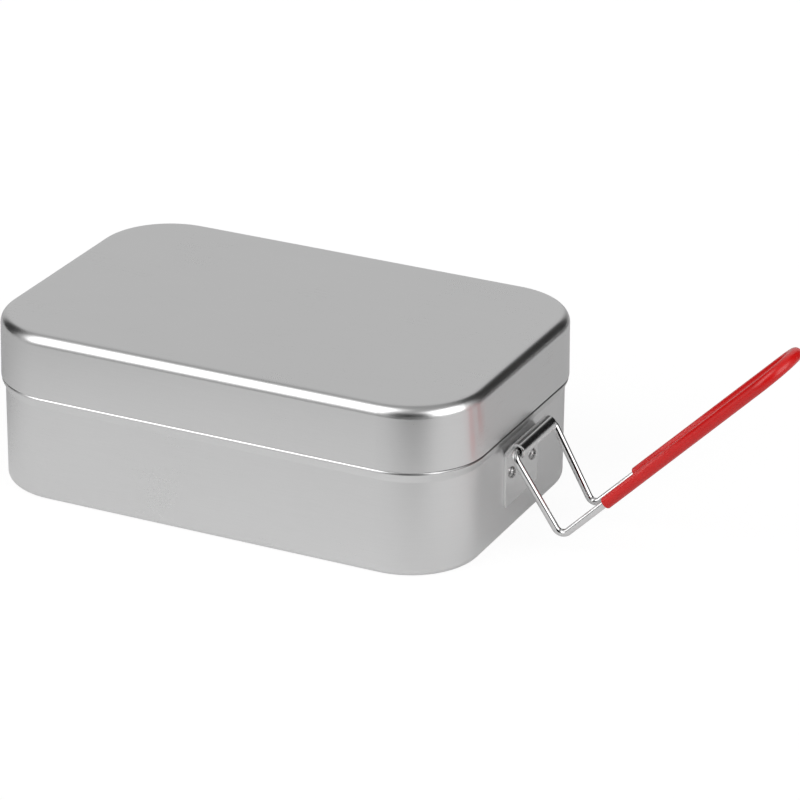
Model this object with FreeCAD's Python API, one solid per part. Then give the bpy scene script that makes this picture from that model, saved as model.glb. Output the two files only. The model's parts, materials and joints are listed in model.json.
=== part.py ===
# Rectangular drawn mess tin: a pan with a lift-off lid and a folding wire handle.
# Millimetres. The origin is the middle of the pan's underside, the tin is long in X,
# the handle hangs on the +X end and +Z is up. At rest the lid is on and the handle stands half open.
import FreeCAD
import Part
import math
import os

from FreeCAD import Vector

# Driving dimensions: the closed tin
tin_length = 205.0            # over the lid's mouth
tin_width = 134.4             # over the lid's mouth
tin_height = 70.0
corner_radius = 30.7          # plan corner of the lid's mouth
sheet = 0.8                   # drawn aluminium sheet

# Driving dimensions: lid
lid_depth = 25.8
lid_edge_radius = 4.4         # outside, between top and skirt
lid_draft = 0.84              # degrees, wider at the mouth
lid_clearance = 0.85          # lid's mouth to the pan's wall, each side

# Driving dimensions: pan
pan_edge_radius = 3.0         # outside, between floor and wall
pan_overlap = 13.8            # height of the pan's rim above the lid's mouth
bead_height = 1.4             # how far the stop bead stands out of the wall
bead_crest_radius = 1.3       # outside of the sheet
bead_root_radius = 0.8        # outside of the sheet, where the bead meets the rim
bead_foot_radius = 1.5        # outside of the sheet, where the bead's taper meets the wall
bead_taper = 24.0             # degrees out of vertical, below the crest
bead_seat_gap = 0.25          # lid's inner edge to the bead

# Driving dimensions: hinge bracket
bracket_width = 30.0
bracket_sheet = 1.0
bracket_foot = 24.7           # pivot down to the plate's lower edge
bracket_corner_radius = 1.0   # lower corners of the plate
barrel_gap = 2.15             # back of the barrel to the pan's wall
barrel_below_bead = 5.64      # pivot below the crest of the bead
barrel_play = 0.7             # wire to bore, all round
barrel_end_angle = -140.0     # degrees round from level outwards, where the rolled edge stops
neck_lean = 35.0              # degrees out of vertical, between plate and barrel
neck_bend_radius = 2.0        # middle of the sheet

# Driving dimensions: rivets
rivet_spacing = 19.0
rivet_below_pivot = 11.7
rivet_diameter = 3.0
rivet_play = 0.05             # shank to hole, all round
rivet_head_diameter = 6.0     # inside the pan
rivet_head_height = 1.3
clinch_diameter = 4.8         # rolled-over end, outside the plate
clinch_height = 1.0
clinch_bore = 1.7             # hollow of the rivet's end
clinch_bore_depth = 1.8
clinch_lip = 0.35             # rounding of the lip into the hollow
clinch_splits = 3
clinch_split_width = 0.45
clinch_split_depth = 0.7

# Driving dimensions: handle
wire_diameter = 3.0
wire_bend_radius = 3.2        # middle of the wire
wire_end_gap = 4.0            # between the two ends inside the barrel
leg_gap = 1.9                 # barrel's end to the inside of a leg, at the pivot
leg_inset = 2.8               # how much further in a leg is at its foot than at the pivot
leg_lean = 13.6               # degrees, legs to upright while the arms lie over the lid
fold_gap = 0.5                # sleeve to lid while the arms lie over the lid
arm_length = 118.5            # foot of the legs to the tip
arm_inset = 2.6               # how much further in an arm is at the tip than at the foot
arm_rise = 45.3               # degrees, arms above level at rest
tip_flat = 2.0                # straight piece between the two tip bends
sleeve_diameter = 5.0
sleeve_play = 0.1             # sleeve to wire, all round
sleeve_start = 25.0           # foot of the legs to the sleeve's end
sleeve_end_radius = 0.3

# Places worked out from the sizes: tin
corner_x = tin_length / 2 - corner_radius
corner_y = tin_width / 2 - corner_radius
draft = math.radians(lid_draft)
lid_mouth_z = tin_height - lid_depth
lid_skirt = sheet / math.cos(draft)
lid_inner = corner_radius - lid_skirt
pan_outer = lid_inner - lid_clearance
pan_rim_z = lid_mouth_z + pan_overlap
bead_centre = pan_outer + bead_height - bead_crest_radius
bead_reach = bead_crest_radius + bead_seat_gap
bead_z = lid_mouth_z - math.sqrt(bead_reach ** 2 - (lid_inner - bead_centre) ** 2)
wall_x = corner_x + pan_outer

# Places worked out from the sizes: bracket and rivets
wire_radius = wire_diameter / 2
bore_radius = wire_radius + barrel_play
barrel_radius = bore_radius + bracket_sheet
pivot = Vector(wall_x + barrel_gap + barrel_radius, 0, bead_z - barrel_below_bead)
plate_front_x = wall_x + bracket_sheet
rivet_z = pivot.z - rivet_below_pivot
rivet_rows = {"rivet_front": -rivet_spacing / 2, "rivet_back": rivet_spacing / 2}

# Places worked out from the sizes: handle
leg_top_y = bracket_width / 2 + leg_gap + wire_radius
leg_foot_y = leg_top_y - leg_inset
leg_rise = arm_rise - leg_lean - 90
leg_height = tin_height + fold_gap + sleeve_diameter / 2 - pivot.z
leg_length = leg_height / math.cos(math.radians(leg_lean))
tip_y = leg_foot_y - arm_inset
tip_turn = math.acos(arm_inset / math.hypot(arm_length, arm_inset))
tip_radius = (tip_y - tip_flat / 2) / math.tan(tip_turn / 2)


# Lines, arcs and sweeps


def line(start, end):
    return Part.makeLine(start, end)


def on_circle(centre, radius, degrees):
    """Point of a circle in the XZ plane, counted from +X towards +Z."""
    angle = math.radians(degrees)
    return centre + Vector(radius * math.cos(angle), 0, radius * math.sin(angle))


def turn(centre, radius, first, last):
    """Arc in the XZ plane between two angles, in degrees."""
    angles = (first, (first + last) / 2, last)
    return Part.Arc(*(on_circle(centre, radius, angle) for angle in angles)).toShape()


def rounded_path(points, radii):
    """Edges of straight runs between points, with a tangent arc at each inner point."""
    edges = []
    start = points[0]
    for before, point, after, radius in zip(points, points[1:], points[2:], radii):
        back = (before - point).normalize()
        ahead = (after - point).normalize()
        bisector = (back + ahead).normalize()
        half = back.getAngle(ahead) / 2
        run_end = point + back * (radius / math.tan(half))
        run_start = point + ahead * (radius / math.tan(half))
        crown = point + bisector * (radius / math.sin(half) - radius)
        edges.append(line(start, run_end))
        edges.append(Part.Arc(run_end, crown, run_start).toShape())
        start = run_start
    return edges + [line(start, points[-1])]


def first_point(edge):
    return edge.valueAt(edge.FirstParameter)


def last_point(edge):
    return edge.valueAt(edge.LastParameter)


def section_face(edges):
    return Part.Face(Part.Wire(Part.sortEdges(edges)[0]))


def sweep_round(edges, radius):
    """Round bar along a path of lines and arcs."""
    heading = edges[0].tangentAt(edges[0].FirstParameter)
    ring = Part.Wire(Part.makeCircle(radius, first_point(edges[0]), heading))
    return Part.Wire(edges).makePipeShell([ring], True, False)


# Pan and lid


def drawn_shell(section, plate_z):
    """Carry a wall section, drawn in XZ outwards from a corner's centre, round the plan and close the middle."""
    up = Vector(0, 0, 1)
    pieces = []
    for quarter in range(4):
        reach, half_side = (corner_x, corner_y) if quarter % 2 == 0 else (corner_y, corner_x)
        side_start = section.translated(Vector(reach, -half_side, 0))
        corner = Vector(reach, half_side, 0)
        side = side_start.extrude(Vector(0, 2 * half_side, 0))
        bend = section.translated(corner).revolve(corner, up, 90)
        for piece in (side, bend):
            piece.rotate(Vector(0, 0, 0), up, 90 * quarter)
            pieces.append(piece)
    plate = Part.makeBox(2 * corner_x, 2 * corner_y, sheet, Vector(-corner_x, -corner_y, plate_z))
    return plate.multiFuse(pieces).removeSplitter()


def bead_edges(depth):
    """Foot, taper, crest and root of the stop bead, upwards, at a depth inside the outer skin."""
    taper = math.radians(bead_taper)
    bends = bead_crest_radius + bead_foot_radius
    slope = (bead_height - bends * (1 - math.cos(taper))) / math.sin(taper)
    drop = bends * math.sin(taper) + slope * math.cos(taper)
    spread = bead_crest_radius + bead_root_radius
    rise = math.sqrt(spread ** 2 - (spread - bead_height) ** 2)
    swing = math.degrees(math.asin(rise / spread))
    foot_centre = Vector(pan_outer + bead_foot_radius, 0, bead_z - drop)
    crest_centre = Vector(bead_centre, 0, bead_z)
    root_centre = Vector(pan_outer + bead_root_radius, 0, bead_z + rise)
    foot = turn(foot_centre, bead_foot_radius + depth, 180, 180 - bead_taper)
    crest = turn(crest_centre, bead_crest_radius - depth, -bead_taper, swing)
    root = turn(root_centre, bead_root_radius + depth, 180 + swing, 180)
    return [foot, line(last_point(foot), first_point(crest)), crest, root]


def pan_skin(depth):
    """Edges of the pan's section from the middle of the floor to the rim, at a depth inside the outer skin."""
    floor_edge = Vector(pan_outer - pan_edge_radius, 0, pan_edge_radius)
    bend = turn(floor_edge, pan_edge_radius - depth, -90, 0)
    bead = bead_edges(depth)
    return [line(Vector(0, 0, depth), first_point(bend)), bend, line(last_point(bend), first_point(bead[0])),
            *bead, line(last_point(bead[-1]), Vector(pan_outer - depth, 0, pan_rim_z))]


def lid_skin(depth):
    """Edges of the lid's section from the middle of the top to the mouth, at a depth inside the outer skin."""
    top_z = tin_height - depth
    mouth = corner_radius - depth / math.cos(draft)
    shoulder = Vector(mouth - (top_z - lid_mouth_z) * math.tan(draft), 0, top_z)
    points = [Vector(0, 0, top_z), shoulder, Vector(mouth, 0, lid_mouth_z)]
    return rounded_path(points, [lid_edge_radius - depth])


def sheet_section(skin):
    """Close the outer and inner skins of a sheet into one face."""
    outside = skin(0)
    inside = skin(sheet)
    middle = line(first_point(outside[0]), first_point(inside[0]))
    rim = line(last_point(outside[-1]), last_point(inside[-1]))
    return section_face(outside + inside + [middle, rim])


def make_pan():
    pan = drawn_shell(sheet_section(pan_skin), 0)
    return drill_for_rivets(pan)


def make_lid():
    return drawn_shell(sheet_section(lid_skin), tin_height - sheet)


# Hinge bracket and rivets


def make_bracket():
    """Sheet strip that follows the plate, the neck and the rolled barrel."""
    strip_radius = bore_radius + bracket_sheet / 2
    plate_x = wall_x + bracket_sheet / 2
    foot = Vector(plate_x, 0, pivot.z - bracket_foot)
    roll = turn(pivot, strip_radius, 180 - neck_lean, barrel_end_angle)
    neck_top = first_point(roll)
    neck_foot_z = neck_top.z - (neck_top.x - plate_x) / math.tan(math.radians(neck_lean))
    strip_path = rounded_path([foot, Vector(plate_x, 0, neck_foot_z), neck_top], [neck_bend_radius])
    half_sheet = Vector(bracket_sheet / 2, 0, 0)
    half_width = Vector(0, bracket_width / 2, 0)
    corners = [foot - half_sheet - half_width, foot + half_sheet - half_width,
               foot + half_sheet + half_width, foot - half_sheet + half_width]
    strip_section = Part.makePolygon(corners + corners[:1])
    strip = Part.Wire(strip_path + [roll]).makePipeShell([strip_section], True, False)
    low_corners = [edge for edge in strip.Edges if is_low_corner(edge, foot.z)]
    return drill_for_rivets(strip.makeFillet(bracket_corner_radius, low_corners))


def is_low_corner(edge, foot_z):
    """True for the two edges through the sheet at the plate's lower corners."""
    box = edge.BoundBox
    through_sheet = box.XLength > bracket_sheet / 2 and box.YLength < bracket_sheet / 2
    return through_sheet and box.ZMax < foot_z + bracket_sheet / 2


def drill_for_rivets(piece):
    depth = sheet + bracket_sheet
    for y in rivet_rows.values():
        start = Vector(wall_x - depth, y, rivet_z)
        hole = Part.makeCylinder(rivet_diameter / 2 + rivet_play, 2 * depth, start, Vector(1, 0, 0))
        piece = piece.cut(hole)
    return piece


def make_rivet(y):
    """Round head inside the pan, shank, and a hollow, split and rolled end outside the plate."""
    level = Vector(1, 0, 0)
    wall_in_x = wall_x - sheet
    lip_x = plate_front_x + clinch_height
    lip_radius = clinch_bore / 2 + clinch_lip
    head_radius = rivet_head_diameter / 2
    clinch_radius = clinch_diameter / 2
    dome_radius = (head_radius ** 2 + rivet_head_height ** 2) / (2 * rivet_head_height)
    dome_swing = math.degrees(math.asin(head_radius / dome_radius))
    dome_centre = Vector(wall_in_x - rivet_head_height + dome_radius, 0, 0)
    dome = turn(dome_centre, dome_radius, 180, 180 - dome_swing)
    slant = math.sqrt(0.5)
    roll_crown = Vector(plate_front_x + clinch_height * slant, 0, lip_radius + (clinch_radius - lip_radius) * slant)
    roll = Part.Arc(Vector(plate_front_x, 0, clinch_radius), roll_crown, Vector(lip_x, 0, lip_radius)).toShape()
    lip = turn(Vector(lip_x - clinch_lip, 0, lip_radius), clinch_lip, 0, -90)
    shank_in = Vector(wall_in_x, 0, rivet_diameter / 2)
    shank_out = Vector(plate_front_x, 0, rivet_diameter / 2)
    hollow_x = lip_x - clinch_bore_depth
    hollow_corner = Vector(hollow_x, 0, clinch_bore / 2)
    hollow_middle = Vector(hollow_x, 0, 0)
    outline = [dome, line(last_point(dome), shank_in), line(shank_in, shank_out),
               line(shank_out, first_point(roll)), roll, lip, line(last_point(lip), hollow_corner),
               line(hollow_corner, hollow_middle), line(hollow_middle, first_point(dome))]
    rivet = section_face(outline).revolve(Vector(0, 0, 0), level, 360)
    for number in range(clinch_splits):
        split_start = Vector(lip_x - clinch_split_depth, -clinch_split_width / 2, 0)
        split = Part.makeBox(clinch_height, clinch_split_width, clinch_diameter, split_start)
        split.rotate(Vector(0, 0, 0), level, 360 * number / clinch_splits)
        rivet = rivet.cut(split)
    return rivet.translated(Vector(0, y, rivet_z))


# Handle


def half_handle():
    """Corners of one half of the handle's wire, from inside the barrel to the tip, on the -Y side."""
    foot = on_circle(pivot, leg_length, leg_rise)
    tip = on_circle(foot, arm_length, arm_rise)
    places = [(pivot, wire_end_gap / 2), (pivot, leg_top_y), (foot, leg_foot_y), (tip, tip_y)]
    return [Vector(place.x, -y, place.z) for place, y in places]


def whole_handle(half):
    """The half's points, and the same points mirrored to the +Y side on the way back."""
    return half + [Vector(point.x, -point.y, point.z) for point in reversed(half)]


def make_handle_wire():
    bends = [wire_bend_radius, wire_bend_radius, tip_radius]
    return sweep_round(rounded_path(whole_handle(half_handle()), bends + bends[::-1]), wire_radius)


def make_sleeve():
    foot, tip = half_handle()[2:]
    start = foot + (tip - foot).normalize() * sleeve_start
    path = rounded_path(whole_handle([start, tip]), [tip_radius, tip_radius])
    tube = sweep_round(path, sleeve_diameter / 2)
    rims = [edge for edge in tube.Edges if is_round_end(edge, start)]
    tube = tube.makeFillet(sleeve_end_radius, rims)
    return tube.cut(sweep_round(path, wire_radius + sleeve_play))


def is_round_end(edge, start):
    """True for the two circles at the sleeve's ends."""
    box = edge.BoundBox
    at_ends = abs(abs(box.Center.y) - abs(start.y)) < sleeve_diameter / 2
    return edge.isClosed() and at_ends and abs(box.Center.x - start.x) < sleeve_diameter / 2


pieces = {"base_pan": make_pan(), "lid": make_lid(), "hinge_bracket": make_bracket(),
          "handle_wire": make_handle_wire(), "grip_sleeve": make_sleeve()}
for name, row_y in rivet_rows.items():
    pieces[name] = make_rivet(row_y)

os.makedirs("parts", exist_ok=True)
for name, shape in pieces.items():
    print(name, "valid", shape.isValid(), "solids", len(shape.Solids), "volume", round(shape.Volume, 2))
    shape.exportStep(f"parts/{name}.step")
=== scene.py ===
import json
from math import cos, radians, sin, tan

import bpy
from mathutils import Matrix, Vector

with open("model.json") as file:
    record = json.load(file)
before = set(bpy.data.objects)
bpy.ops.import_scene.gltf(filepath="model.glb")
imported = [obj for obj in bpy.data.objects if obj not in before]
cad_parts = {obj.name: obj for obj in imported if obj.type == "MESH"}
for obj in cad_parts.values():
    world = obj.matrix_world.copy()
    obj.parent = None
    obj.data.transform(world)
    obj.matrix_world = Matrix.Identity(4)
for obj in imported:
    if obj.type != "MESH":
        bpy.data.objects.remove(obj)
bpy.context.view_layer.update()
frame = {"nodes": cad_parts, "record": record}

# Camera: the photograph's viewing angle, in degrees and metres
camera_azimuth = 25.4384
camera_elevation = 23.7961
camera_roll = 0.6328
camera_distance = 1.617702
camera_lens_mm = 185.343
camera_sensor_mm = 36.0
camera_aim = Vector((0, 0, 0.035))
camera_slide_right = 0.0448196
camera_slide_up = -0.0031633

# Studio: levels are shares of white, angles are degrees from +Y towards +X and above the floor,
# and soft is how far a panel's edges fade, across and upward
room_level = 0.34
mirrored_white_share = 0.004
least_facing = 0.01
panel_turn = (0, 0.1)
studio_panels = {
    "back_sheet": {
        "azimuth": -34, "elevation": 16, "wide": 66, "high": 84, "soft": (0.3, 0.3), "level": 0.6,
    },
    "gap_right": {
        "azimuth": 28, "elevation": 18, "wide": 42, "high": 74, "soft": (0.3, 0.3), "level": 0.0,
    },
    "gap_left": {
        "azimuth": -85, "elevation": 20, "wide": 42, "high": 52, "soft": (0.3, 0.3), "level": 0.0,
    },
    "front_softbox": {
        "azimuth": -146, "elevation": 39, "wide": 32, "high": 62, "soft": (0.4, 0.8), "level": 2.9,
    },
    "side_softbox": {
        "azimuth": 100, "elevation": 24, "wide": 48, "high": 54, "soft": (0.4, 0.4), "level": 2.6,
    },
    "gap_front": {
        "azimuth": 155, "elevation": 5, "wide": 54, "high": 64, "soft": (0.3, 0.3), "level": 0.0,
    },
}

# Floor, in metres: lit places and dark cloths, as the metal mirrors them; fades are shares of a spot's size
floor_half_size = 3.0
floor_tone = 0.666
floor_white_share = 0.78
floor_white = 1.15
light_pools = {
    "front_pool": {"middle": (-0.03, -0.12, 0), "size": (0.19, 0.15, 1), "share": 0.31},
    "side_pool": {"middle": (0.25, -0.06, 0), "size": (0.13, 0.12, 1), "share": 0.28},
    "end_pool": {"middle": (0.125, 0.045, 0), "size": (0.06, 0.09, 1), "share": 0.07},
}
pool_fade = (0.55, 1.25)
dark_cloths = {
    "front_cloth": {"middle": (-0.15, -0.64, 0), "size": (0.5, 0.34, 1), "share": 0.5},
    "camera_cloth": {"middle": (0.26, -0.43, 0), "size": (0.2, 0.22, 1), "share": 0.95},
    "back_cloth": {"middle": (0.45, 0.54, 0), "size": (0.3, 0.3, 1), "share": 1.0},
}
cloth_fade = (0.85, 1.15)

# Painted shade in the seam between bead and lid, at the tin's ends, darkening the metal's colour there: metres
# where it fades in or out
seam_ends = (0.090, 0.097)
seam_foot = (0.0428, 0.0432)
seam_head = (0.0441, 0.0443)
seam_painted_shade = 0.7

# Finishes: textures in grains per metre along x, y and z, bumps and worn edges in metres
aluminium_grain = (2600, 2600, 2600)
aluminium_wall_lines = (70, 70, 2400)
aluminium_flat_lines = (70, 2000, 70)
aluminium_handling = (28, 28, 28)
aluminium_handling_detail = 4
aluminium_bump = 0.0000026
aluminium_tone = 0.71
aluminium_roughness = 0.24
vinyl_peel = (900, 900, 900)
vinyl_clouds = (120, 120, 120)
vinyl_bump = 0.0000025
vinyl_deep_red = (0.665, 0.009, 0.009, 1)
vinyl_light_red = (0.76, 0.014, 0.013, 1)
vinyl_roughness = 0.24
metal_finishes = {
    "bracket_steel": {"tone": 0.84, "rough": 0.2, "lines": (300, 300, 3000), "bump": 0.000002, "edge": 0.0003},
    "rivet_aluminium": {"tone": 0.62, "rough": 0.3, "lines": (1300, 1300, 1300), "bump": 0.0001, "edge": 0.0002},
    "bright_wire": {"tone": 0.78, "rough": 0.07, "lines": (1500, 1500, 1500), "bump": 0.000001, "edge": 0.0001},
}
metal_tarnish = (160, 160, 160)
edge_samples = 6

# The bracket is duller behind its barrel: metres where that fades out along x and in along z
barrel_back = (0.1045, 0.107)
barrel_foot = (0.033, 0.035)
barrel_back_roughness = 0.45

# Painted shade: uneven dark lines on the rivets' clinched ends stand in for the shade in their creases
painted_crease_width = (0, 0.09)
painted_crease_tone = 0.25


class Level:
    """A value in a node tree: sums and products of levels add Math nodes."""

    def __init__(self, tree, socket):
        self.tree = tree
        self.socket = socket

    def math(self, operation, *values):
        node = self.tree.nodes.new("ShaderNodeMath")
        node.operation = operation
        for socket, value in zip(node.inputs, values):
            plug(self.tree, socket, value)
        return Level(self.tree, node.outputs[0])

    def __add__(self, other):
        return self.math("ADD", self, other)

    def __radd__(self, other):
        return self.math("ADD", other, self)

    def __sub__(self, other):
        return self.math("SUBTRACT", self, other)

    def __rsub__(self, other):
        return self.math("SUBTRACT", other, self)

    def __mul__(self, other):
        return self.math("MULTIPLY", self, other)

    def __rmul__(self, other):
        return self.math("MULTIPLY", other, self)

    def __truediv__(self, other):
        return self.math("DIVIDE", self, other)

    def __rtruediv__(self, other):
        return self.math("DIVIDE", other, self)

    def __abs__(self):
        return self.math("ABSOLUTE", self)

    def at_least(self, other):
        return self.math("MAXIMUM", self, other)


def plug(tree, socket, value):
    """Links a level to a socket, or sets a plain value on it."""
    if isinstance(value, Level):
        tree.links.new(value.socket, socket)
    else:
        socket.default_value = value


class Recipe:
    """The node tree of one finish, light or backdrop."""

    def __init__(self, owner):
        owner.use_nodes = True
        self.tree = owner.node_tree
        self.tree.nodes.clear()

    def node(self, kind, settings=None, sockets=None, out=0):
        """Adds a node: its settings first, then the values or links of its sockets."""
        node = self.tree.nodes.new("ShaderNode" + kind)
        for name, value in (settings or {}).items():
            setattr(node, name, value)
        for name, value in (sockets or {}).items():
            plug(self.tree, node.inputs[name], value)
        return Level(self.tree, node.outputs[out]) if node.outputs else None

    def rise(self, value, low, high):
        """0 below low, 1 above high, and a smooth step between them."""
        return self.node(
            "MapRange",
            {"interpolation_type": "SMOOTHSTEP"},
            {"Value": value, "From Min": low, "From Max": high},
        )

    def texture(self, place, per_metre, detail=3):
        """Noise between 0 and 1, with that many grains per metre along x, y and z."""
        scaled = self.node("VectorMath", {"operation": "MULTIPLY"}, {0: place, 1: per_metre})
        return self.node("TexNoise", sockets={"Vector": scaled, "Scale": 1, "Detail": detail})

    def dot(self, vector, direction):
        return self.node("VectorMath", {"operation": "DOT_PRODUCT"}, {0: vector, 1: direction}, "Value")

    def seen_directly(self):
        """1 where the camera looks at it straight or through something clear, else 0."""
        camera_ray = self.node("LightPath", out="Is Camera Ray")
        return camera_ray + self.node("LightPath", out="Is Transmission Ray")


def grey(tone):
    return (tone, tone, tone, 1)


def compass(azimuth, elevation):
    """The direction at that azimuth, from +Y towards +X, and that height above the floor."""
    a = radians(azimuth)
    e = radians(elevation)
    return Vector((sin(a) * cos(e), cos(a) * cos(e), sin(e)))


def seen_panel(recipe, towards, panel):
    """Where a flat panel that faces the tin is seen: 1 on the panel, 0 off it, with soft edges."""
    middle = compass(panel["azimuth"], panel["elevation"])
    along = middle.cross((0, 0, 1)).normalized()
    facing = recipe.dot(towards, middle)
    depth = facing.at_least(least_facing)
    across = abs(recipe.dot(towards, along) / depth)
    upward = abs(recipe.dot(towards, along.cross(middle)) / depth)
    half_wide = tan(radians(panel["wide"] / 2))
    half_high = tan(radians(panel["high"] / 2))
    soft_across, soft_upward = panel["soft"]
    inside_width = recipe.rise(half_wide - across, -soft_across / 2, soft_across / 2)
    inside_height = recipe.rise(half_high - upward, -soft_upward / 2, soft_upward / 2)
    return inside_width * inside_height * recipe.rise(facing, *panel_turn)


def light_studio():
    """A white sheet, two softboxes and the dark gaps between them, all round the tin."""
    world = bpy.data.worlds.new("studio")
    bpy.context.scene.world = world
    recipe = Recipe(world)
    towards = recipe.node("TexCoord", out="Generated")
    level = room_level
    for panel in studio_panels.values():
        mask = seen_panel(recipe, towards, panel)
        level = level * (1 - mask) + panel["level"] * mask
    studio = recipe.node("Background", sockets={"Color": grey(1), "Strength": level})
    white = recipe.node("Background", sockets={"Color": grey(1), "Strength": 1})
    plain = recipe.seen_directly()
    mirrored = recipe.node("LightPath", out="Is Glossy Ray") * mirrored_white_share
    shown = recipe.node("MixShader", sockets={0: plain + mirrored, 1: studio, 2: white})
    recipe.node("OutputWorld", sockets={"Surface": shown})


def spot_on_floor(recipe, place, spot, inner, outer):
    """1 inside a round spot, fading to 0 between two shares of its size."""
    offset = recipe.node("VectorMath", {"operation": "SUBTRACT"}, {0: place, 1: spot["middle"]})
    scaled = recipe.node("VectorMath", {"operation": "DIVIDE"}, {0: offset, 1: spot["size"]})
    reach = recipe.node("VectorMath", {"operation": "LENGTH"}, {0: scaled}, "Value")
    return 1 - recipe.rise(reach, inner, outer)


def lay_floor():
    """A pale floor: its lit tone keeps the shadow, and a share of plain white keeps it bright."""
    mesh = bpy.data.meshes.new("floor")
    half = floor_half_size
    corners = [(-half, -half, 0), (half, -half, 0), (half, half, 0), (-half, half, 0)]
    mesh.from_pydata(corners, [], [(0, 1, 2, 3)])
    floor = bpy.data.objects.new("floor", mesh)
    bpy.context.scene.collection.objects.link(floor)
    material = bpy.data.materials.new("pale_floor")
    material.cycles.emission_sampling = "NONE"  # its white is only seen or mirrored, so it is no lamp
    mesh.materials.append(material)
    recipe = Recipe(material)
    place = recipe.node("TexCoord", out="Object")
    lit = recipe.node("BsdfDiffuse", sockets={"Color": grey(floor_tone)})
    white = recipe.node("Emission", sockets={"Color": grey(1), "Strength": floor_white})
    black = recipe.node("Emission", sockets={"Color": grey(0)})
    plain = recipe.seen_directly()
    mirrored = recipe.node("LightPath", out="Is Glossy Ray")
    pooled = 0
    for pool in light_pools.values():
        pooled = pooled + pool["share"] * spot_on_floor(recipe, place, pool, *pool_fade)
    clothed = 0
    for cloth in dark_cloths.values():
        clothed = clothed + cloth["share"] * spot_on_floor(recipe, place, cloth, *cloth_fade)
    pale_share = plain * floor_white_share + mirrored * pooled
    pale = recipe.node("MixShader", sockets={0: pale_share, 1: lit, 2: white})
    shown = recipe.node("MixShader", sockets={0: mirrored * clothed, 1: pale, 2: black})
    recipe.node("OutputMaterial", sockets={"Surface": shown})


def place_camera():
    azimuth = radians(camera_azimuth)
    elevation = radians(camera_elevation)
    roll = radians(camera_roll)
    back = Vector((sin(azimuth) * cos(elevation), -cos(azimuth) * cos(elevation), sin(elevation)))
    level_right = Vector((cos(azimuth), sin(azimuth), 0))
    level_up = back.cross(level_right)
    right = cos(roll) * level_right + sin(roll) * level_up
    up = back.cross(right)
    place = camera_aim + back * camera_distance + right * camera_slide_right + up * camera_slide_up
    data = bpy.data.cameras.new("camera")
    data.lens = camera_lens_mm
    data.sensor_width = camera_sensor_mm
    camera = bpy.data.objects.new("camera", data)
    camera.matrix_world = Matrix.Translation(place) @ Matrix((right, up, back)).transposed().to_4x4()
    bpy.context.scene.collection.objects.link(camera)
    bpy.context.scene.camera = camera


def drawn_aluminium():
    """Satin sheet: fine grain all over, level draw lines on the walls, rolling lines on the flats."""
    material = bpy.data.materials.new("drawn_aluminium")
    recipe = Recipe(material)
    place = recipe.node("TexCoord", out="Object")
    upright = abs(recipe.dot(recipe.node("TexCoord", out="Normal"), (0, 0, 1)))
    grain = recipe.texture(place, aluminium_grain)
    wall_lines = recipe.texture(place, aluminium_wall_lines)
    flat_lines = recipe.texture(place, aluminium_flat_lines)
    handling = recipe.texture(place, aluminium_handling, aluminium_handling_detail)
    lines = wall_lines * (1 - upright) + flat_lines * upright
    relief = 0.6 * grain + 0.4 * lines
    bumped = recipe.node("Bump", sockets={"Height": relief, "Strength": 1, "Distance": aluminium_bump})
    height = recipe.dot(place, (0, 0, 1))
    # Painted shade: the colour is darkened along the seam between bead and lid at the tin's ends
    at_ends = recipe.rise(abs(recipe.dot(place, (1, 0, 0))), *seam_ends)
    seam = at_ends * recipe.rise(height, *seam_foot) * (1 - recipe.rise(height, *seam_head))
    shade = aluminium_tone + 0.02 * grain + 0.03 * lines + 0.03 * handling
    metal = recipe.node(
        "BsdfPrincipled",
        sockets={
            "Base Color": shade * (1 - seam_painted_shade * seam),
            "Metallic": 1,
            "Roughness": aluminium_roughness + 0.03 * grain + 0.02 * lines + 0.04 * handling,
            "Normal": bumped,
        },
    )
    recipe.node("OutputMaterial", sockets={"Surface": metal})
    return material


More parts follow.
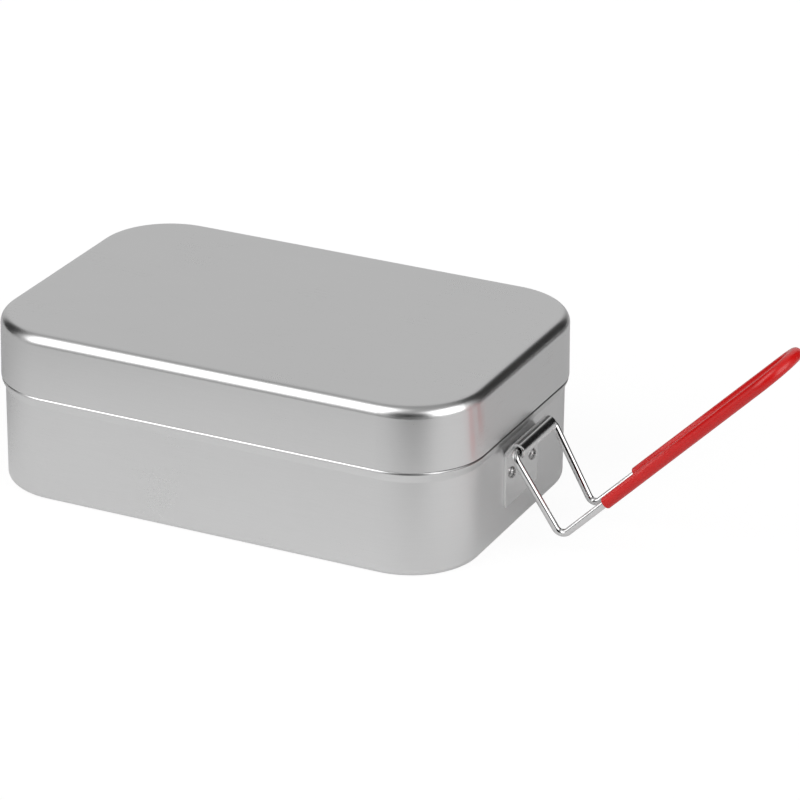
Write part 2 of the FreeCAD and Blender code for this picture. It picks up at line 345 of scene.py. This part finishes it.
def red_vinyl():
    """Soft vinyl tube: slightly uneven colour and a faint orange-peel skin."""
    material = bpy.data.materials.new("red_vinyl")
    recipe = Recipe(material)
    place = recipe.node("TexCoord", out="Object")
    peel = recipe.texture(place, vinyl_peel)
    clouds = recipe.texture(place, vinyl_clouds)
    colour = recipe.node(
        "Mix",
        {"data_type": "RGBA"},
        {"Factor": clouds, "A": vinyl_deep_red, "B": vinyl_light_red},
        "Result",
    )
    bumped = recipe.node("Bump", sockets={"Height": peel, "Strength": 1, "Distance": vinyl_bump})
    vinyl = recipe.node(
        "BsdfPrincipled",
        sockets={"Base Color": colour, "Roughness": vinyl_roughness + 0.04 * peel, "Normal": bumped},
    )
    recipe.node("OutputMaterial", sockets={"Surface": vinyl})
    return material


def behind_barrel(recipe, place):
    """1 on the bracket's neck and the back of its barrel, which face the wall."""
    near_wall = 1 - recipe.rise(recipe.dot(place, (1, 0, 0)), *barrel_back)
    return near_wall * recipe.rise(recipe.dot(place, (0, 0, 1)), *barrel_foot)


def painted_crease_shade(recipe, lines):
    """Painted shade: the share of colour left by uneven dark lines that stand in for the shade in creases."""
    return painted_crease_tone + (1 - painted_crease_tone) * recipe.rise(abs(lines - 0.5), *painted_crease_width)


def bare_metal(name, finish):
    """Metal with its own working lines and a little tarnish, worn round at the edges."""
    material = bpy.data.materials.new(name)
    recipe = Recipe(material)
    place = recipe.node("TexCoord", out="Object")
    lines = recipe.texture(place, finish["lines"])
    tarnish = recipe.texture(place, metal_tarnish)
    rounded = recipe.node("Bevel", {"samples": edge_samples}, {"Radius": finish["edge"]})
    bumped = recipe.node(
        "Bump",
        sockets={"Height": lines, "Strength": 1, "Distance": finish["bump"], "Normal": rounded},
    )
    shade = finish["tone"] * (0.92 + 0.06 * lines + 0.1 * tarnish)
    roughness = finish["rough"] * (0.8 + 0.2 * lines + 0.2 * tarnish)
    if name == "bracket_steel":
        roughness = roughness + barrel_back_roughness * behind_barrel(recipe, place)
    if name == "rivet_aluminium":
        # Painted shade of creases on the rivets' clinched ends
        shade = shade * painted_crease_shade(recipe, lines)
    metal = recipe.node(
        "BsdfPrincipled",
        sockets={"Base Color": shade, "Metallic": 1, "Roughness": roughness, "Normal": bumped},
    )
    recipe.node("OutputMaterial", sockets={"Surface": metal})
    return material


finishes = {name: bare_metal(name, finish) for name, finish in metal_finishes.items()}
finishes["drawn_aluminium"] = drawn_aluminium()
finishes["red_vinyl"] = red_vinyl()
for part in frame["record"]["subparts"]:
    frame["nodes"][part["node"]].material_slots[0].material = finishes[part["material_slot"]]

light_studio()
lay_floor()
place_camera()
bpy.context.scene.view_settings.view_transform = "Standard"
